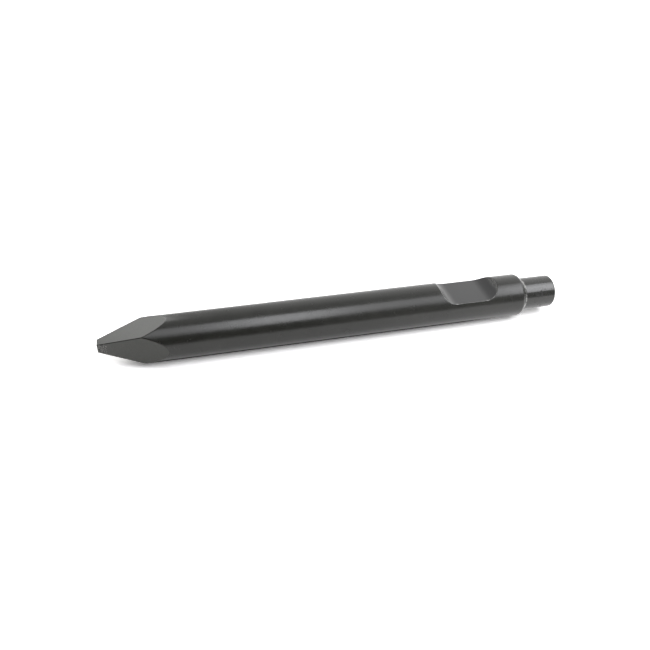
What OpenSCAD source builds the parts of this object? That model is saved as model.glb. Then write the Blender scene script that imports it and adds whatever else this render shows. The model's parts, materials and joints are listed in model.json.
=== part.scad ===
// Moil point: the pointed steel of a hydraulic breaker, forged and turned from one round bar.
// The bar lies on its side. The origin is the centre of the striking face, +X runs along the bar
// out of the striking end, and +Z points out of the retaining notch.

/* [Shank] */
// Overall length, striking face to tip
overall_l = 790; // [600:1:1200]
// Diameter of the shank
shank_d = 75; // [70:0.5:80]

/* [Point] */
// Angle between each flat of the point and the axis
point_angle = 15.5; // [12:0.5:25]
// Width of the blunt square tip
tip_w = 15; // [8:0.5:30]

/* [Retaining notch] */
// Distance from the striking face to the middle of the notch
notch_x = 168; // [160:1:200]
// Length of the notch's flat floor
notch_floor_l = 54; // [20:1:60]
// Depth of the floor below the shank's surface
notch_depth = 18; // [10:0.5:20]
// Radius of the ramp at each end of the floor
notch_ramp_r = 28; // [20:0.5:40]

/* [Striking end] */
// Diameter of the striking end
striking_d = 57; // [54:0.5:60]
// Straight length of the striking end, rim included
striking_l = 56; // [40:1:60]
// Radius that rounds the rim of the striking face
striking_rim_r = 3.5; // [1:0.5:6]
// Radius that rounds the outside of the shoulder
shoulder_r = 6; // [5.5:0.5:8]
// Radius of the hollow fillet between the shoulder and the striking end
neck_r = 10; // [10:0.5:14]

/* [Hidden] */
$fn = 96;

shank_r = shank_d / 2;
striking_r = striking_d / 2;
notch_floor_z = shank_r - notch_depth;

// Distance from the tip at which a flat has spread to the shank's full radius
flat_run = (shank_r - tip_w / 2) / tan(point_angle);

// How far a cutting shape reaches past the surface it cuts
overshoot = 1;

// Where the shoulder's round meets the neck's fillet: both lean by neck_lean there
neck_lean = acos(1 - (shank_r - striking_r) / (shoulder_r + neck_r));
neck_end_y = -striking_l;
neck_meet_y = neck_end_y - neck_r * sin(neck_lean);
shoulder_y = neck_meet_y - shoulder_r * sin(neck_lean);

// Half profile of the turned bar, drawn with the radius along X and the bar's axis along Y
module bar_profile() {
    difference() {
        translate([0, -overall_l]) square([striking_r, overall_l]);
        rim_cut();
    }
    translate([0, -overall_l]) square([shank_r, overall_l + shoulder_y]);
    shoulder_profile();
    neck_profile();
}

// The round on the outside of the shoulder
module shoulder_profile() {
    intersection() {
        translate([0, shoulder_y - shoulder_r]) square([shank_r, neck_meet_y - shoulder_y + shoulder_r]);
        translate([shank_r - shoulder_r, shoulder_y]) circle(shoulder_r);
    }
}

// The hollow fillet that runs from the shoulder's round down to the striking end
module neck_profile() {
    meet_x = shank_r - shoulder_r * (1 - cos(neck_lean));
    difference() {
        translate([0, shoulder_y]) square([meet_x, neck_end_y - shoulder_y]);
        translate([striking_r + neck_r, neck_end_y]) circle(neck_r);
    }
}

// What is cut away to round the rim of the striking face
module rim_cut() {
    corner = striking_r - striking_rim_r;
    difference() {
        translate([corner, -striking_rim_r]) square(striking_rim_r + overshoot);
        translate([corner, -striking_rim_r]) circle(striking_rim_r);
    }
}

// The turned bar, before the notch and the point are cut
module turned_bar() {
    rotate([0, 90, 0]) rotate_extrude() bar_profile();
}

// Outline that two opposite flats of the point leave, seen square to the point's taper
module point_outline() {
    tip_x = -overall_l;
    polygon([
        [tip_x, -tip_w / 2],
        [tip_x + flat_run + overshoot, -shank_r - overshoot * tan(point_angle)],
        [overshoot, -shank_r - overshoot * tan(point_angle)],
        [overshoot, shank_r + overshoot * tan(point_angle)],
        [tip_x + flat_run + overshoot, shank_r + overshoot * tan(point_angle)],
        [tip_x, tip_w / 2],
    ]);
}

// Everything between two opposite flats
module flat_pair() {
    width = shank_d + 2 * overshoot;
    translate([0, 0, -width / 2]) linear_extrude(width) point_outline();
}

// The path of the round cutter that mills the notch across the top of the bar
module notch_cutter() {
    width = shank_d + 2 * overshoot;
    centre_z = notch_floor_z + notch_ramp_r;
    translate([-notch_x, width / 2, centre_z]) rotate([90, 0, 0]) linear_extrude(width) union() {
        for (end = [-1, 1]) translate([end * notch_floor_l / 2, 0]) circle(notch_ramp_r);
        translate([-notch_floor_l / 2, -notch_ramp_r]) square([notch_floor_l, 2 * notch_ramp_r]);
    }
}

// The whole point: one solid piece of steel with a black finish
module moil_point() {
    color("dimgray") difference() {
        intersection() {
            turned_bar();
            flat_pair();
            rotate([90, 0, 0]) flat_pair();
        }
        notch_cutter();
    }
}

moil_point();
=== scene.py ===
import json
import math

import bpy
import numpy as np
from mathutils import Matrix, Vector


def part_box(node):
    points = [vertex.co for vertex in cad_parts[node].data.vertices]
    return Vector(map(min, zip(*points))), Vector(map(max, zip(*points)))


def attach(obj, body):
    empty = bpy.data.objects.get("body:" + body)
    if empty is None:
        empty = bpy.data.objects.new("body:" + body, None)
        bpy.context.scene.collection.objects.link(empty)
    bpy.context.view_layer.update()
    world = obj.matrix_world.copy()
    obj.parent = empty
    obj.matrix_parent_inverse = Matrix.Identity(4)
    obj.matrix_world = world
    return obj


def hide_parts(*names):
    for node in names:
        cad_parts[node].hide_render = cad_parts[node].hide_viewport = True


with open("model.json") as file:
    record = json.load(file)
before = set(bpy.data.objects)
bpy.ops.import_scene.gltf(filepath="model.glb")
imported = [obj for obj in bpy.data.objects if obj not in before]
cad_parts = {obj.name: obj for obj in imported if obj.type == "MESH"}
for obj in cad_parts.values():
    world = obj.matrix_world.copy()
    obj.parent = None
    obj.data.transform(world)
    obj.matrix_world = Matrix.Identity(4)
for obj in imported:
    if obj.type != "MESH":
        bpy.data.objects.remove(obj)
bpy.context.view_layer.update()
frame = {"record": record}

MM = 0.001

# ---------------------------------------------------------------------------------------------
# Sizes. Those that a mount states come from the frame, the two ends from the CAD part's box, and the
# rest are given here.
# ---------------------------------------------------------------------------------------------

low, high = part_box("moil_point")
mounts = {mount["name"]: mount for mount in frame["record"]["mounts"]}

TIP_X = low.x
FACE_X = high.x
SHANK_R = mounts["shank"]["dims"]["r_mm"] * MM
STRIKING_R = mounts["striking_end"]["dims"]["r_mm"] * MM
NOTCH_X = mounts["retainer_floor"]["pos_m"][0]
NOTCH_FLOOR_Z = mounts["retainer_floor"]["pos_m"][2]

POINT_ANGLE = math.radians(15.5)
TIP_HALF = 7.5 * MM
NOTCH_FLOOR_HALF = 27 * MM
NOTCH_RAMP_R = 28 * MM
STRIKING_L = 56 * MM
RIM_R = 3.5 * MM
SHOULDER_R = 6 * MM
NECK_R = 10 * MM

# The shoulder's round and the neck's hollow fillet meet where both lean by NECK_LEAN
NECK_LEAN = math.acos(1 - (SHANK_R - STRIKING_R) / (SHOULDER_R + NECK_R))
NECK_END_X = FACE_X - STRIKING_L
NECK_MEET_X = NECK_END_X - NECK_R * math.sin(NECK_LEAN)
SHOULDER_X = NECK_MEET_X - SHOULDER_R * math.sin(NECK_LEAN)

# How softly the edges are broken: half the width of the rounded band along an edge
EDGE_BREAK = 0.7 * MM
RIDGE_BREAK = 1.3 * MM
TIP_BREAK = 1.2 * MM

# Least and greatest lean of a cut against the bar that the width of the band allows for
LEAST_LEAN = 0.2
GREATEST_LEAN = 4

# How far round the bar from its own middle line a cut can reach, and a radius past every cut
CUT_REACH = math.radians(80)
NO_CUT_R = 1.0

# How far the black coat is worn off, from 0 to 1, on the point's edges, on the notch's edges, in a
# ring round the neck and on the rim. The ring round the neck lies in the hollow fillet and is partly
# wear and partly a painted highlight
POINT_WEAR = 0.3
NOTCH_WEAR = 0.94
# The neck's ring of bare steel is partly wear and partly a painted highlight in the hollow
NECK_WEAR_AND_HIGHLIGHT = 0.80
NECK_RING_X = NECK_END_X - 3 * MM
NECK_RING_HALF = 3.4 * MM
RIM_WEAR = 0.5
RIM_WEAR_WIDTH = RIM_R * 1.1

# Difference in radius over which the finish changes from one machined surface to another
MASK_BLEND = 0.3 * MM


# ---------------------------------------------------------------------------------------------
# The steel's surface, as a radius round the axis. phi is 0 along +Z and grows towards -Y.
# ---------------------------------------------------------------------------------------------


def soft_min(a, b, band):
    """The smaller of two radii, rounded where they are within band of each other, and a mask.

    The mask is 1 where the two are equal and 0 where they are band or more apart.
    """
    near = np.clip(1 - np.abs(a - b) / band, 0, 1)
    return np.minimum(a, b) - near**2 * band / 4, near


def edge_band(size, slope_x, phi):
    """The difference in radius between the bar and a cut across it, size away from their edge."""
    lean = np.hypot(slope_x / np.cos(phi), np.tan(phi))
    return size * np.clip(lean, LEAST_LEAN, GREATEST_LEAN)


def turned_radius(x):
    """Radius of the turned bar: shank, shoulder, neck and striking end, without the rim's round."""
    round_part = np.clip(x - SHOULDER_X, 0, SHOULDER_R)
    shoulder = SHANK_R - SHOULDER_R + np.sqrt(SHOULDER_R**2 - round_part**2)
    hollow_part = np.clip(NECK_END_X - x, 0, NECK_R)
    neck = STRIKING_R + NECK_R - np.sqrt(NECK_R**2 - hollow_part**2)
    return np.where(x < SHOULDER_X, SHANK_R, np.where(x < NECK_MEET_X, shoulder, neck))


def flat_height(x):
    """Distance of a flat of the point from the axis."""
    return TIP_HALF + (x - TIP_X) * math.tan(POINT_ANGLE)


def notch_height(x):
    """Height of the notch's floor and ramps above the axis, and their slope along x.

    The ramps go on past the shank, to just short of upright.
    """
    run = np.clip(np.abs(x - NOTCH_X) - NOTCH_FLOOR_HALF, 0, NOTCH_RAMP_R * 0.999)
    rise = np.sqrt(NOTCH_RAMP_R**2 - run**2)
    return NOTCH_FLOOR_Z + NOTCH_RAMP_R - rise, run / rise


def turned_from(phi, centre):
    """The angle from centre to phi, and whether a cut square to centre can reach the steel there."""
    turn = (phi - centre + math.pi) % (2 * math.pi) - math.pi
    reaches = np.abs(turn) < CUT_REACH
    return np.where(reaches, turn, 0), reaches


def surface(x, phi):
    """Radius of the finished steel at x and phi, and four masks from 0 to 1.

    The masks are the wear, with a ring round the neck that is partly a painted highlight, the
    point's ridges, its flats and the notch.
    """
    radius = turned_radius(x)
    # A bright ring of bare steel round the neck: partly wear, partly a painted highlight
    worn = NECK_WEAR_AND_HIGHLIGHT * np.exp(-(((x - NECK_RING_X) / NECK_RING_HALF) ** 2))
    flats = np.zeros_like(radius)
    ridges = np.zeros_like(radius)
    for quarter in range(4):
        turn, reaches = turned_from(phi, quarter * math.pi / 2)
        cut = np.where(reaches, flat_height(x) / np.cos(turn), NO_CUT_R)
        cut_before = flats
        flats = np.maximum(flats, np.clip((radius - cut) / MASK_BLEND, 0, 1))
        radius, near = soft_min(radius, cut, edge_band(RIDGE_BREAK, math.tan(POINT_ANGLE), turn))
        worn = np.maximum(worn, near * POINT_WEAR)
        ridges = np.maximum(ridges, near * cut_before)
    turn, reaches = turned_from(phi, 0)
    height, slope = notch_height(x)
    cut = np.where(reaches, height / np.cos(turn), NO_CUT_R)
    notch = np.clip((radius - cut) / MASK_BLEND, 0, 1)
    radius, near = soft_min(radius, cut, edge_band(EDGE_BREAK, slope, turn))
    return radius, np.maximum(worn, near * NOTCH_WEAR), ridges, flats, notch


# ---------------------------------------------------------------------------------------------
# The grid: stations along the bar, lines round it. Both bend so that a line lies on each edge.
# ---------------------------------------------------------------------------------------------

# Angles between which the lines of half a turn are spread: the point's ridges and flats, or the
# notch's side and three arcs of about one length below it
LINES_PER_ARC = 30
RIDGE_ARCS = np.radians([0, 45, 90, 135, 180])
NOTCH_SIDE = math.acos(NOTCH_FLOOR_Z / SHANK_R)
NOTCH_ARCS = np.array([0, NOTCH_SIDE, *np.radians([98, 139, 180])])

# How far crowded lines and stations leave an even spacing, from 0 to 1
CROWDING = 0.65

# The lines bend from the point's ridges to the notch's sides between POINT_END_X and the place
# that lies NOTCH_MARGIN before the middle of the notch
POINT_END_X = TIP_X + 150 * MM
NOTCH_MARGIN = 78 * MM


def crowded(count, start, end):
    """count + 1 numbers from 0 to 1, closer together at the start, at the end or at both."""
    t = np.linspace(0, 1, count + 1)
    if start and end:
        eased = (1 - np.cos(t * math.pi)) / 2
    elif start:
        eased = 1 - np.cos(t * math.pi / 2)
    elif end:
        eased = np.sin(t * math.pi / 2)
    else:
        eased = t
    return (1 - CROWDING) * t + CROWDING * eased


def half_turn(arcs, crowded_at):
    """Angles from 0 to pi, with lines on the ends of each arc and crowded at those in crowded_at."""
    angles = [np.array([arcs[0]])]
    for i, (a, b) in enumerate(zip(arcs[:-1], arcs[1:])):
        share = crowded(LINES_PER_ARC, i in crowded_at, i + 1 in crowded_at)[1:]
        angles.append(a + (b - a) * share)
    return np.concatenate(angles)


def full_turn(half):
    """All the lines round the bar, from a half turn that is the same on both sides."""
    return np.concatenate([half, 2 * math.pi - half[-2:0:-1]])


def flats_end(phi):
    """Where, on each line, a flat of the point meets the shank."""
    turn = (phi + math.pi / 4) % (math.pi / 2) - math.pi / 4
    return TIP_X + (SHANK_R * np.cos(turn) - TIP_HALF) / math.tan(POINT_ANGLE)


def notch_end(phi, side):
    """Where, on each line, a ramp of the notch meets the shank.

    side is -1 for the ramp towards the tip and 1 for the one towards the striking face.
    """
    rise = np.clip(SHANK_R * np.cos(phi) - NOTCH_FLOOR_Z, 0, None)
    run = np.sqrt(NOTCH_RAMP_R**2 - (NOTCH_RAMP_R - rise) ** 2)
    return NOTCH_X + side * (NOTCH_FLOOR_HALF + run)


def grid():
    """x and phi of every point of the grid, one row a station.

    The stations run from just behind the tip's edge to just behind the rim.
    """
    ridges = full_turn(half_turn(RIDGE_ARCS, (1, 3)))
    notch = full_turn(half_turn(NOTCH_ARCS, (1,)))
    everywhere = np.ones_like(ridges)
    # Start, end, number of stations, crowded at the start, crowded at the end, and how far the
    # lines follow the notch at the start and at the end
    stretches = [
        (TIP_X + TIP_BREAK, flats_end(ridges), 72, False, True, 0, 0),
        (flats_end(ridges), POINT_END_X, 16, True, False, 0, 0),
        (POINT_END_X, NOTCH_X - NOTCH_MARGIN, 44, False, False, 0, 1),
        (NOTCH_X - NOTCH_MARGIN, notch_end(notch, -1), 14, False, True, 1, 1),
        (notch_end(notch, -1), NOTCH_X, 34, True, False, 1, 1),
        (NOTCH_X, notch_end(notch, 1), 34, False, True, 1, 1),
        (notch_end(notch, 1), NOTCH_X + NOTCH_MARGIN, 14, True, False, 1, 1),
        (NOTCH_X + NOTCH_MARGIN, SHOULDER_X, 5, False, False, 1, 1),
        (SHOULDER_X, NECK_MEET_X, 12, False, False, 1, 1),
        (NECK_MEET_X, NECK_END_X, 10, False, False, 1, 1),
        (NECK_END_X, FACE_X - RIM_R, 16, False, False, 1, 1),
    ]
    x_rows = []
    phi_rows = []
    for start, end, count, near_start, near_end, mix_start, mix_end in stretches:
        shares = crowded(count, near_start, near_end)
        for share, t in zip(shares, np.linspace(0, 1, count + 1)):
            if x_rows and share == 0:
                continue
            mix = mix_start + (mix_end - mix_start) * t * t * (3 - 2 * t)
            x_rows.append((start + (end - start) * share) * everywhere)
            phi_rows.append(ridges + (notch - ridges) * mix)
    return np.array(x_rows), np.array(phi_rows)


def end_rows(radius, flat_x, outward, rounding, arc_count, ring_count):
    """x and radius of the stations that close an end: a rounded edge, then rings on the flat face.

    radius is that of the side where the rounding starts. outward is 1 for an end that faces +X
    and -1 for one that faces -X.
    """
    x_rows = []
    r_rows = []
    for angle in np.linspace(0, math.pi / 2, arc_count + 1)[1:]:
        x_rows.append(np.full_like(radius, flat_x - outward * rounding * (1 - math.sin(angle))))
        r_rows.append(radius - rounding * (1 - math.cos(angle)))
    for share in np.linspace(1, 0, ring_count + 1)[1:-1]:
        x_rows.append(np.full_like(radius, flat_x))
        r_rows.append((radius - rounding) * share)
    return x_rows, r_rows


def skin_faces(rows, lines):
    """Faces between the stations, and a fan at each end. The fans' centres are the last points."""
    tip_centre = rows * lines
    face_centre = tip_centre + 1
    faces = []
    for i in range(rows - 1):
        for j in range(lines):
            k = (j + 1) % lines
            faces.append((i * lines + j, i * lines + k, (i + 1) * lines + k, (i + 1) * lines + j))
    last = (rows - 1) * lines
    for j in range(lines):
        k = (j + 1) % lines
        faces.append((tip_centre, k, j))
        faces.append((face_centre, last + j, last + k))
    return faces


def build_steel():
    """The whole moil point as one closed mesh."""
    x, phi = grid()
    radius, worn, ridges, flats, notch = surface(x, phi)
    tip_x, tip_r = end_rows(radius[0], TIP_X, -1, TIP_BREAK, arc_count=5, ring_count=6)
    face_x, face_r = end_rows(radius[-1], FACE_X, 1, RIM_R, arc_count=9, ring_count=12)

    rim = np.array(face_x) > FACE_X - RIM_R
    rim &= np.array(face_r) > STRIKING_R - RIM_WEAR_WIDTH
    no_tip = np.zeros_like(tip_r)
    no_face = np.zeros_like(face_r)
    masks = {
        "worn": np.vstack([np.full_like(tip_r, POINT_WEAR), worn, rim * RIM_WEAR]),
        "ridges": np.vstack([no_tip, ridges, no_face]),
        "flats": np.vstack([np.ones_like(tip_r), flats, no_face]),
        "notch": np.vstack([no_tip, notch, no_face]),
    }

    x = np.vstack([tip_x[::-1], x, face_x])
    radius = np.vstack([tip_r[::-1], radius, face_r])
    phi = np.vstack([np.tile(phi[0], (len(tip_x), 1)), phi, np.tile(phi[-1], (len(face_x), 1))])
    points = np.stack([x, -radius * np.sin(phi), radius * np.cos(phi)], axis=-1).reshape(-1, 3)
    centres = np.array([[TIP_X, 0, 0], [FACE_X, 0, 0]])

    mesh = bpy.data.meshes.new("steel")
    mesh.from_pydata(np.vstack([points, centres]).tolist(), [], skin_faces(*x.shape))
    for name, mask in masks.items():
        attribute = mesh.attributes.new(name, "FLOAT", "POINT")
        with_centres = np.append(mask.ravel(), mask[[0, -1], 0])
        attribute.data.foreach_set("value", with_centres.astype(np.float32))
    mesh.shade_smooth()
    mesh.validate()
    steel = bpy.data.objects.new("moil_point_steel", mesh)
    bpy.context.scene.collection.objects.link(steel)
    return steel


# ---------------------------------------------------------------------------------------------
# Nodes
# ---------------------------------------------------------------------------------------------


def feed(tree, socket, source):
    """Link source to socket, or set the socket when source is a number or a colour."""
    if isinstance(source, bpy.types.NodeSocket):
        tree.links.new(source, socket)
    elif isinstance(source, tuple):
        socket.default_value = (*source, 1)
    else:
        socket.default_value = source


def math_node(tree, operation, a, b):
    node = tree.nodes.new("ShaderNodeMath")
    node.operation = operation
    feed(tree, node.inputs[0], a)
    feed(tree, node.inputs[1], b)
    return node.outputs[0]


def ramp_node(tree, value, stops):
    """A smooth ramp from the first stop's (input, output) to the second's."""
    node = tree.nodes.new("ShaderNodeMapRange")
    node.interpolation_type = "SMOOTHSTEP"
    (low_in, low_out), (high_in, high_out) = stops
    node.inputs["From Min"].default_value = low_in
    node.inputs["From Max"].default_value = high_in
    node.inputs["To Min"].default_value = low_out
    node.inputs["To Max"].default_value = high_out
    tree.links.new(value, node.inputs["Value"])
    return node.outputs["Result"]


def mix_node(tree, factor, a, b):
    """A colour mix. Each input is an output socket, a colour or a number."""
    node = tree.nodes.new("ShaderNodeMix")
    node.data_type = "RGBA"
    for socket, source in ((node.inputs[0], factor), (node.inputs[6], a), (node.inputs[7], b)):
        feed(tree, socket, source)
    return node.outputs[2]


def blend_node(tree, factor, a, b):
    """A mix of two plain values."""
    node = tree.nodes.new("ShaderNodeMix")
    for socket, source in ((node.inputs[0], factor), (node.inputs[2], a), (node.inputs[3], b)):
        feed(tree, socket, source)
    return node.outputs[0]


def noise_node(tree, place, size, stretch=(1, 1, 1), detail=2.0):
    """Noise whose features are about size across, drawn out along the axes by stretch."""
    mapping = tree.nodes.new("ShaderNodeMapping")
    mapping.inputs["Scale"].default_value = [1 / (size * s) for s in stretch]
    tree.links.new(place, mapping.inputs["Vector"])
    noise = tree.nodes.new("ShaderNodeTexNoise")
    noise.inputs["Scale"].default_value = 1
    noise.inputs["Detail"].default_value = detail
    tree.links.new(mapping.outputs[0], noise.inputs["Vector"])
    return noise.outputs[0]


def mask_node(tree, name):
    """A mask that is stored on the mesh."""
    node = tree.nodes.new("ShaderNodeAttribute")
    node.attribute_name = name
    return node.outputs["Fac"]


def axes_node(tree, vector):
    """The outputs X, Y and Z of a vector."""
    node = tree.nodes.new("ShaderNodeSeparateXYZ")
    tree.links.new(vector, node.inputs[0])
    return node.outputs


def length_node(tree, vector):
    node = tree.nodes.new("ShaderNodeVectorMath")
    node.operation = "LENGTH"
    tree.links.new(vector, node.inputs[0])
    return node.outputs["Value"]


def patch_node(tree, place, centre, reach):
    """A soft patch: 1 round centre, 0 from reach outwards. Both have an x, a y and a z."""
    mapping = tree.nodes.new("ShaderNodeMapping")
    mapping.vector_type = "TEXTURE"
    mapping.inputs["Location"].default_value = centre
    mapping.inputs["Scale"].default_value = reach
    tree.links.new(place, mapping.inputs["Vector"])
    return ramp_node(tree, length_node(tree, mapping.outputs[0]), [(0.2, 1), (1, 0)])


def bump_node(tree, height, depth, below=None):
    """A bump of that depth, on top of the normal that comes from below."""
    bump = tree.nodes.new("ShaderNodeBump")
    bump.inputs["Distance"].default_value = depth
    tree.links.new(height, bump.inputs["Height"])
    if below:
        tree.links.new(below, bump.inputs["Normal"])
    return bump.outputs["Normal"]


# ---------------------------------------------------------------------------------------------
# Material: black coat over steel, with bare steel where the coat has worn off, a painted highlight
# in part of the neck's ring, and painted shade on the underside and the ridges
# ---------------------------------------------------------------------------------------------

COAT = (0.0090, 0.0092, 0.0072)
COAT_DUSTY = (0.0125, 0.0126, 0.0102)
COAT_ON_FLATS = (0.037, 0.038, 0.032)
COAT_ON_FLATS_DARK = (0.028, 0.029, 0.025)
COAT_IN_NOTCH = (0.026, 0.026, 0.026)
SAWN_TIP = (0.13, 0.13, 0.12)
# Dark colour of the pits and of the sawn tip's speckle, also used as painted shade on the underside
# and the ridges
DARK_COAT_AND_PAINTED_SHADE = (0.0030, 0.0030, 0.0030)
# Bare steel where the coat is worn off, also used for the painted highlight in the neck's ring
WORN_AND_HIGHLIT_STEEL = (0.30, 0.30, 0.29)

# Grain of the coat's dusty blotches, its uneven gloss, the mottled flats and the sawn tip
BLOTCH_GRAIN = 30 * MM
GLOSS_GRAIN = 12 * MM
MOTTLE_GRAIN = 1.5 * MM
SPECKLE_GRAIN = 1.8 * MM

# Roughness of each surface. The shank's varies between its two values.
SHANK_ROUGH = (0.235, 0.275)
STRIKING_ROUGH = 0.20
FLATS_ROUGH = 0.45
NOTCH_ROUGH = 0.28
PITS_ROUGH = 0.7
TIP_ROUGH = 0.6
WORN_ROUGH = 0.42

# Refractive index of the coat, of the coat on the striking end and on the matt underside, then
# the specular level of the coat and of its dull parts, and how metallic bare steel is
COAT_IOR = 1.50
STRIKING_IOR = 1.56
UNDERSIDE_IOR = 1.02
SPECULAR = 0.5
DULL_SPECULAR = 0.15
WORN_METALLIC = 0.9

# The tool marks: spacing, how far they are drawn out along x, y and z, and depth. The lathe's
# rings have only a share of the depth.
RING_SPACING = 1.2 * MM
RING_SHARE = 0.5
MILL_SPACING = 1.6 * MM
MILL_STRETCH = (1, 40, 40)
GRIND_SPACING = 1.0 * MM
GRIND_STRETCH = (1, 25, 25)
MARK_DEPTH = 0.006 * MM

# Grain and depth of the sawn tip, and of the coat, which is smoother outside the scuffed patch
SAWN_GRAIN = 2.5 * MM
SAWN_DEPTH = 0.6 * MM
PEEL_GRAIN = 2.2 * MM
PEEL_DEPTH = 0.030 * MM
PEEL_OUTSIDE_SCUFF = 0.2
SCUFF_AT = (-0.600, -0.030, 0.023)
SCUFF_REACH = (0.065, 0.016, 0.016)

# Noise that breaks up the wear, how much of it is added, and the sum that lays steel bare
WEAR_GRAIN = 7 * MM
WEAR_BROKEN = 1.6
WEAR_STOPS = [(1.25, 0), (1.95, 1)]

# Noise that makes the pits, how much the pitted part adds to it, the sum that makes a pit, and
# where the pitted part lies
PIT_GRAIN = 3 * MM
PITTED_MORE = 0.14
PIT_STOPS = [(0.64, 0), (0.70, 1)]
PITTED_AT = (-0.032, -0.0252, 0.0134)
PITTED_REACH = (0.020, 0.010, 0.010)

# The rough end of the point, and the noise that makes its border ragged
ROUGH_TIP_L = 17 * MM
ROUGH_TIP_FADE = 2 * MM
RAGGED_GRAIN = 4 * MM
RAGGED_REACH = 8 * MM

# Parts of the normal over which the end face, the front flat and the underside fade out, and the
# places along x over which the underside's painted shade and weaker reflection do
FACES_END = [(-0.95, 1), (-0.7, 0)]
FACES_FRONT = [(-0.93, 1), (-0.8, 0)]
FACES_DOWN = [(-0.60, 1), (-0.48, 0)]
UNDERSIDE_ALONG_X = [(-0.18, 1), (-0.06, 0)]


def coat_colour(tree, place, masks):
    """Colour of the coat: dusty in blotches, lighter on the flats, in the notch and at the tip, with
    painted shade on the underside and the ridges.
    """
    blotches = noise_node(tree, place, BLOTCH_GRAIN, detail=4)
    blotches = ramp_node(tree, blotches, [(0.4, 0), (0.7, 1)])
    mottle = noise_node(tree, place, MOTTLE_GRAIN, detail=3)
    mottle = ramp_node(tree, mottle, [(0.35, 0), (0.65, 1)])
    turned = mix_node(tree, blotches, COAT, COAT_DUSTY)
    turned = mix_node(tree, masks["pits"], turned, DARK_COAT_AND_PAINTED_SHADE)
    flats = mix_node(tree, mottle, COAT_ON_FLATS_DARK, COAT_ON_FLATS)
    colour = mix_node(tree, masks["flats"], turned, flats)
    colour = mix_node(tree, masks["notch"], colour, COAT_IN_NOTCH)
    speckle = noise_node(tree, place, SPECKLE_GRAIN, detail=3)
    speckle = ramp_node(tree, speckle, [(0.4, 0), (0.6, 1)])
    sawn = mix_node(tree, speckle, DARK_COAT_AND_PAINTED_SHADE, SAWN_TIP)
    colour = mix_node(tree, masks["tip"], colour, sawn)
    # Painted shade: a dark line on the underside and along the point's ridges
    return mix_node(tree, masks["dull"], colour, DARK_COAT_AND_PAINTED_SHADE)


def coat_roughness(tree, place, masks):
    """Roughness of the coat: uneven on the shank, higher where it was ground, pitted or sawn."""
    uneven = noise_node(tree, place, GLOSS_GRAIN, detail=4)
    least, most = SHANK_ROUGH
    rough = ramp_node(tree, uneven, [(0.3, least), (0.7, most)])
    rough = blend_node(tree, masks["striking"], rough, STRIKING_ROUGH)
    rough = blend_node(tree, masks["flats"], rough, FLATS_ROUGH)
    rough = blend_node(tree, masks["notch"], rough, NOTCH_ROUGH)
    rough = blend_node(tree, masks["pits"], rough, PITS_ROUGH)
    return blend_node(tree, masks["tip"], rough, TIP_ROUGH)


def turning_path(tree, place):
    """x plus the distance from the axis, as a place.

    The cutter passes each such place once as it turns the side and the end face.
    """
    across = tree.nodes.new("ShaderNodeMapping")
    across.inputs["Scale"].default_value = (0, 1, 1)
    tree.links.new(place, across.inputs["Vector"])
    from_axis = length_node(tree, across.outputs[0])
    passed = math_node(tree, "ADD", axes_node(tree, place)["X"], from_axis)
    path = tree.nodes.new("ShaderNodeCombineXYZ")
    tree.links.new(passed, path.inputs["X"])
    return path.outputs[0]


def surface_bump(tree, place, masks):
    """Lathe rings, milling and grinding marks, the sawn tip and the unevenness of the coat."""
    rings = noise_node(tree, turning_path(tree, place), RING_SPACING)
    milled = noise_node(tree, place, MILL_SPACING, stretch=MILL_STRETCH)
    ground = noise_node(tree, place, GRIND_SPACING, stretch=GRIND_STRETCH, detail=3)
    sawn = noise_node(tree, place, SAWN_GRAIN, detail=4)
    peel = noise_node(tree, place, PEEL_GRAIN, detail=3)
    turned = math_node(tree, "MULTIPLY", rings, RING_SHARE)
    marks = blend_node(tree, masks["flats"], turned, ground)
    marks = blend_node(tree, masks["notch"], marks, milled)
    normal = bump_node(tree, marks, MARK_DEPTH)
    normal = bump_node(tree, math_node(tree, "MULTIPLY", sawn, masks["tip"]), SAWN_DEPTH, normal)
    depth = ramp_node(tree, masks["scuff"], [(0, PEEL_OUTSIDE_SCUFF), (1, 1)])
    return bump_node(tree, math_node(tree, "MULTIPLY", peel, depth), PEEL_DEPTH, normal)


def wear_and_highlight_mask(tree, place, masks):
    """Where bare steel shows: broken lines along the edges, which are wear, and a ring round the
    neck, which is partly wear and partly a painted highlight.
    """
    broken = noise_node(tree, place, WEAR_GRAIN, detail=5)
    broken = math_node(tree, "MULTIPLY", broken, WEAR_BROKEN)
    bare = ramp_node(tree, math_node(tree, "ADD", masks["worn"], broken), WEAR_STOPS)
    near_edge = ramp_node(tree, masks["worn"], [(0, 0), (0.2, 1)])
    return math_node(tree, "MULTIPLY", bare, near_edge)


def pit_mask(tree, place, striking):
    """Small dull pits on the striking end, thickest on the side that faces up and to the front."""
    near = patch_node(tree, place, PITTED_AT, PITTED_REACH)
    spots = noise_node(tree, place, PIT_GRAIN, detail=2)
    spots = math_node(tree, "ADD", spots, math_node(tree, "MULTIPLY", near, PITTED_MORE))
    return math_node(tree, "MULTIPLY", ramp_node(tree, spots, PIT_STOPS), striking)


def tip_mask(tree, place, x, facing):
    """The rough end of the tip, and the rough patch beside it on the flat that faces the front."""
    end_face = ramp_node(tree, facing["X"], FACES_END)
    front = ramp_node(tree, facing["Y"], FACES_FRONT)
    ragged = math_node(tree, "MULTIPLY", noise_node(tree, place, RAGGED_GRAIN), RAGGED_REACH)
    reach = math_node(tree, "ADD", x, ragged)
    border = TIP_X + ROUGH_TIP_L
    beside = ramp_node(tree, reach, [(border, 1), (border + ROUGH_TIP_FADE, 0)])
    return math_node(tree, "MAXIMUM", end_face, math_node(tree, "MULTIPLY", front, beside))


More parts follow.
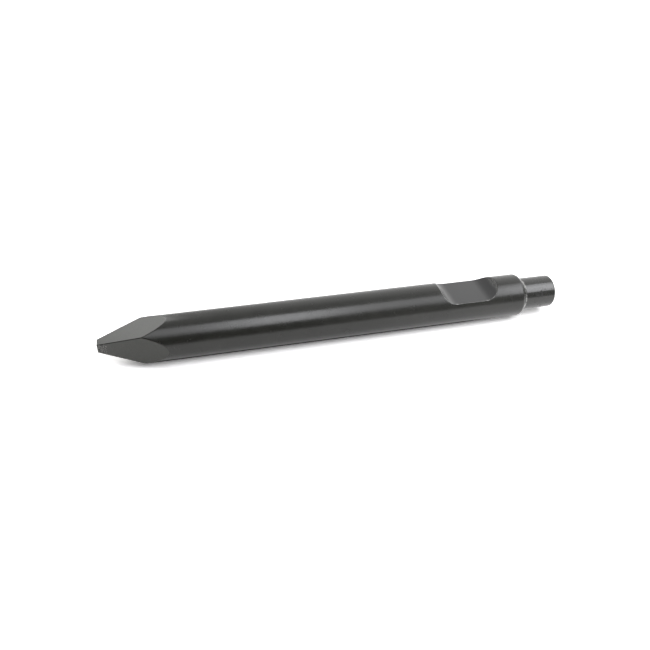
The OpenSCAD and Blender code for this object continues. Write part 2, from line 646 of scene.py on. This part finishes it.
def underside_mask(tree, x, facing):
    """The underside that the steel lies on, except near the striking end. It is made less
    reflective, and painted dark as shade.
    """
    underside = ramp_node(tree, facing["Z"], FACES_DOWN)
    return math_node(tree, "MULTIPLY", underside, ramp_node(tree, x, UNDERSIDE_ALONG_X))


def dull_and_painted_shade_mask(tree, masks):
    """Where the coat is dull and painted dark as shade: the underside and the ridges of the point.
    """
    ridges = ramp_node(tree, masks["ridges"], [(0, 0), (0.25, 1)])
    return math_node(tree, "MAXIMUM", masks["underside"], ridges)


def black_steel():
    """The steel's material."""
    material = bpy.data.materials.new("black_steel")
    material.use_nodes = True
    tree = material.node_tree
    place = tree.nodes.new("ShaderNodeTexCoord").outputs["Object"]
    x = axes_node(tree, place)["X"]
    facing = axes_node(tree, tree.nodes.new("ShaderNodeNewGeometry").outputs["Normal"])
    masks = {name: mask_node(tree, name) for name in ("worn", "ridges", "flats", "notch")}
    masks["tip"] = tip_mask(tree, place, x, facing)
    masks["underside"] = underside_mask(tree, x, facing)
    masks["dull"] = dull_and_painted_shade_mask(tree, masks)
    masks["striking"] = ramp_node(tree, x, [(NECK_MEET_X, 0), (NECK_END_X, 1)])
    masks["pits"] = pit_mask(tree, place, masks["striking"])
    masks["scuff"] = patch_node(tree, place, SCUFF_AT, SCUFF_REACH)

    # Bare steel on the worn edges and, partly as a painted highlight, in the neck's ring
    worn = wear_and_highlight_mask(tree, place, masks)
    colour = mix_node(tree, worn, coat_colour(tree, place, masks), WORN_AND_HIGHLIT_STEEL)
    rough = blend_node(tree, worn, coat_roughness(tree, place, masks), WORN_ROUGH)
    ior = blend_node(tree, masks["striking"], COAT_IOR, STRIKING_IOR)
    ior = blend_node(tree, masks["underside"], ior, UNDERSIDE_IOR)
    specular = blend_node(tree, masks["dull"], SPECULAR, DULL_SPECULAR)
    bsdf = tree.nodes["Principled BSDF"]
    feed(tree, bsdf.inputs["Base Color"], colour)
    feed(tree, bsdf.inputs["Roughness"], rough)
    feed(tree, bsdf.inputs["Metallic"], math_node(tree, "MULTIPLY", worn, WORN_METALLIC))
    feed(tree, bsdf.inputs["IOR"], ior)
    feed(tree, bsdf.inputs["Specular IOR Level"], specular)
    feed(tree, bsdf.inputs["Normal"], surface_bump(tree, place, masks))
    return material


# ---------------------------------------------------------------------------------------------
# Stage: floor, light and camera
# ---------------------------------------------------------------------------------------------

# The white table: half its side, its colour, and how much brighter it looks to the camera than
# to the steel, as in a picture exposed for the dark steel
TABLE_HALF = 12
TABLE = (0.90, 0.89, 0.88)
TABLE_GAIN = 1.36

# What the table gives off besides. The steel sees this grow along x between two places. The
# camera sees it grow outwards from the origin, from the near glow to plain white.
TABLE_GLOW_TO_STEEL = [(-0.45, 0.25), (0, 0.54)]
TABLE_GLOW_NEAR = 0.12
TABLE_GLOW_TO_CAMERA = [(1.5, TABLE_GAIN * TABLE_GLOW_NEAR), (3.5, 1)]


def white_table():
    """The table's material: matt white that also glows."""
    material = bpy.data.materials.new("white_table")
    material.use_nodes = True
    tree = material.node_tree
    tree.nodes.remove(tree.nodes["Principled BSDF"])
    seen = tree.nodes.new("ShaderNodeLightPath").outputs["Is Camera Ray"]
    matt = tree.nodes.new("ShaderNodeBsdfDiffuse")
    brighter = tuple(TABLE_GAIN * channel for channel in TABLE)
    feed(tree, matt.inputs["Color"], mix_node(tree, seen, TABLE, brighter))
    glow = tree.nodes.new("ShaderNodeEmission")
    place = tree.nodes.new("ShaderNodeTexCoord").outputs["Object"]
    to_steel = ramp_node(tree, axes_node(tree, place)["X"], TABLE_GLOW_TO_STEEL)
    to_camera = ramp_node(tree, length_node(tree, place), TABLE_GLOW_TO_CAMERA)
    feed(tree, glow.inputs["Strength"], blend_node(tree, seen, to_steel, to_camera))
    both = tree.nodes.new("ShaderNodeAddShader")
    feed(tree, both.inputs[0], matt.outputs[0])
    feed(tree, both.inputs[1], glow.outputs[0])
    feed(tree, tree.nodes["Material Output"].inputs["Surface"], both.outputs[0])
    return material


def add_floor():
    """The white table that the steel lies on."""
    mesh = bpy.data.meshes.new("floor")
    corners = [(-1, -1), (1, -1), (1, 1), (-1, 1)]
    points = [(x * TABLE_HALF, y * TABLE_HALF, -SHANK_R) for x, y in corners]
    mesh.from_pydata(points, [], [(0, 1, 2, 3)])
    floor = bpy.data.objects.new("floor", mesh)
    bpy.context.scene.collection.objects.link(floor)
    mesh.materials.append(white_table())


# Radiance of the room: white behind the steel, dim overhead, dark on the camera's side. Matt
# surfaces, above all the table, get only a share of what comes from the right.
ROOM_BEHIND = 1.35
ROOM_BEHIND_LEFT = 0.85
ROOM_BEHIND_RIGHT = 1.75
ROOM_OVERHEAD = 0.8
ROOM_IN_FRONT = 0.1
ROOM_FRONT_RIGHT = 0.55
ROOM_RIGHT_TO_MATT = 0.5


def grey(value):
    return (value, value, value)


def room_light(tree, axes):
    """The room's radiance. The stops are lengths along the axes of a direction of length 1."""
    behind_left = ramp_node(tree, axes["X"], [(0.02, ROOM_BEHIND_LEFT), (0.17, ROOM_BEHIND)])
    rightward = ramp_node(tree, axes["X"], [(0.3, 0), (0.65, 1)])
    behind = mix_node(tree, rightward, behind_left, grey(ROOM_BEHIND_RIGHT))
    upward = ramp_node(tree, axes["Z"], [(0.75, 0), (0.95, 1)])
    behind = mix_node(tree, upward, behind, grey(ROOM_OVERHEAD))
    backward = ramp_node(tree, axes["Y"], [(-0.1, 0), (0.12, 1)])
    front = ramp_node(tree, axes["X"], [(0.12, ROOM_IN_FRONT), (0.32, ROOM_FRONT_RIGHT)])
    return mix_node(tree, backward, front, behind)


def add_world():
    """A studio that is white behind the steel and dark in front. The camera sees plain white."""
    world = bpy.data.worlds.new("studio")
    world.use_nodes = True
    bpy.context.scene.world = world
    tree = world.node_tree
    direction = tree.nodes.new("ShaderNodeTexCoord").outputs["Generated"]
    axes = axes_node(tree, direction)
    room = room_light(tree, axes)
    path = tree.nodes.new("ShaderNodeLightPath").outputs
    to_matt = ramp_node(tree, axes["X"], [(0.1, 1), (0.5, ROOM_RIGHT_TO_MATT)])
    dimmed = mix_node(tree, to_matt, grey(0), room)
    room = mix_node(tree, path["Is Diffuse Ray"], room, dimmed)
    seen = mix_node(tree, path["Is Camera Ray"], room, grey(1))
    tree.links.new(seen, tree.nodes["Background"].inputs["Color"])


# The softboxes: name, place along x, the directions of the two long edges in degrees from
# straight up towards the front, length, radiance, and distance from the bar's axis. The first
# two overlap, so that together they fade towards the front. The others brighten the left and
# the right. No two lie in one plane.
SOFTBOX_COLOUR = (0.985, 0.99, 1.02)
SOFTBOXES = [
    ("softbox_long", 0.15, (9, 38), 2.4, 1.25, 1.60),
    ("softbox_edge", 0.15, (7, 49), 2.4, 1.2, 1.63),
    ("softbox_left", -0.25, (9, 49), 0.42, 4.3, 1.57),
    ("softbox_right", 1.16, (-6, 51), 0.88, 4.4, 1.54),
]

# A small square light close behind the point: what it faces, the direction and the distance
# from there, its side and its radiance
POINT_LIGHT_TARGET = Vector((TIP_X - 0.01, 0, 0.02))
POINT_LIGHT_AWAY = Vector((-0.128, 0.756, 0.642)).normalized()
POINT_LIGHT_DISTANCE = 0.5
POINT_LIGHT_SIDE = 0.36
POINT_LIGHT_RADIANCE = 3.2


def add_area_light(name, length, width, radiance, location, rotation):
    """A rectangular light that the camera itself doesn't see."""
    data = bpy.data.lights.new(name, "AREA")
    data.shape = "RECTANGLE"
    data.size = length
    data.size_y = width
    data.energy = radiance * math.pi * length * width
    light = bpy.data.objects.new(name, data)
    light.location = location
    light.rotation_euler = rotation
    light.visible_camera = False
    bpy.context.scene.collection.objects.link(light)
    return data


def add_softbox(name, x, edges, length, radiance, distance):
    """A light that faces the bar's axis and fills the angle between its two long edges."""
    turn = math.radians(sum(edges) / 2)
    half = math.radians(edges[1] - edges[0]) / 2
    width = 2 * distance * math.tan(half)
    outward = Vector((0, -math.sin(turn), math.cos(turn)))
    location = Vector((x, 0, 0)) + outward * distance
    data = add_area_light(name, length, width, radiance, location, (turn, 0, 0))
    data.color = SOFTBOX_COLOUR


def add_point_light():
    """The light close behind the point. Only the point's upper flat mirrors it to the camera."""
    side = POINT_LIGHT_SIDE
    location = POINT_LIGHT_TARGET + POINT_LIGHT_AWAY * POINT_LIGHT_DISTANCE
    rotation = POINT_LIGHT_AWAY.to_track_quat("Z", "Y").to_euler()
    add_area_light("softbox_point", side, side, POINT_LIGHT_RADIANCE, location, rotation)


# The camera: the place in the middle of its picture, its distance from there, its angles and
# its lens
CAMERA_AIM = Vector((-0.4209, 0, -0.0154))
CAMERA_DISTANCE = 1.0927
CAMERA_AZIMUTH = math.radians(-16.31)
CAMERA_ELEVATION = math.radians(38.07)
CAMERA_ROLL = math.radians(3.04)
CAMERA_LENS_MM = 35.45


def add_camera():
    """The camera, which looks at CAMERA_AIM."""
    forward = Vector((
        -math.sin(CAMERA_AZIMUTH) * math.cos(CAMERA_ELEVATION),
        math.cos(CAMERA_AZIMUTH) * math.cos(CAMERA_ELEVATION),
        -math.sin(CAMERA_ELEVATION),
    ))
    level = forward.to_track_quat("-Z", "Y").to_matrix()
    rolled = level @ Matrix.Rotation(CAMERA_ROLL, 3, "Z")
    data = bpy.data.cameras.new("camera")
    data.lens = CAMERA_LENS_MM
    camera = bpy.data.objects.new("camera", data)
    place = Matrix.Translation(CAMERA_AIM - forward * CAMERA_DISTANCE)
    camera.matrix_world = place @ rolled.to_4x4()
    bpy.context.scene.collection.objects.link(camera)
    bpy.context.scene.camera = camera


steel = build_steel()
steel.data.materials.append(black_steel())
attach(steel, "root")
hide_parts("moil_point")
add_floor()
add_world()
for softbox in SOFTBOXES:
    add_softbox(*softbox)
add_point_light()
add_camera()
bpy.context.scene.view_settings.view_transform = "Standard"
